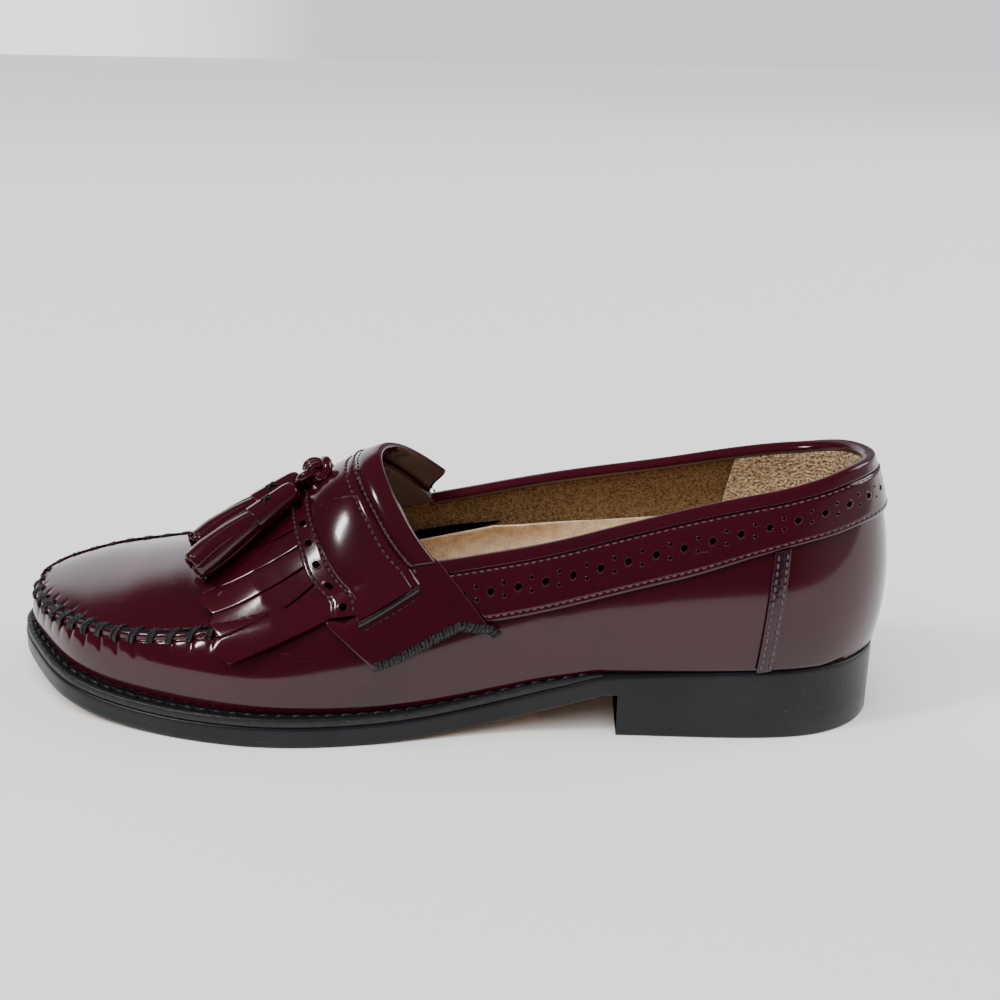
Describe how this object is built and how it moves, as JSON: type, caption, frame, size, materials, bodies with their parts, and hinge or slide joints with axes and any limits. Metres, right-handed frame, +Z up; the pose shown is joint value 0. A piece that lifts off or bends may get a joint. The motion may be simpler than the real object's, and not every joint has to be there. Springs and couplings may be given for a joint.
{
  "type": "tassel loafer",
  "caption": "Left leather slip-on shoe with a stitched moccasin front, a fringed flap, a strap and hanging tassels, on a heeled sole.",
  "frame": {"origin": "middle of the heel's flat floor face", "axes": "+Z up from the floor, +X from the toe to the heel along the sole, +Y towards the inner side of the foot"},
  "size_m": [0.3015, 0.102, 0.0897],
  "materials": {
    "leather": "polished burgundy leather",
    "sole_edge": "waxed black edge",
    "welt": "rough dark stitched leather",
    "lining": "bare tan leather"
  },
  "bodies": {
    "root": {"outsole": "sole_edge", "heel": "sole_edge", "welt": "welt", "insole": "lining", "upper": "leather", "collar_band": "leather", "collar_binding": "leather", "side_strip_outer": "leather", "side_strip_inner": "leather", "saddle_outer": "leather", "saddle_inner": "leather", "strap": "leather", "tongue": "leather", "kiltie": "leather", "tassel_knot": "leather", "tassel_outer": "leather", "tassel_inner": "leather"}
  },
  "joints": []
}
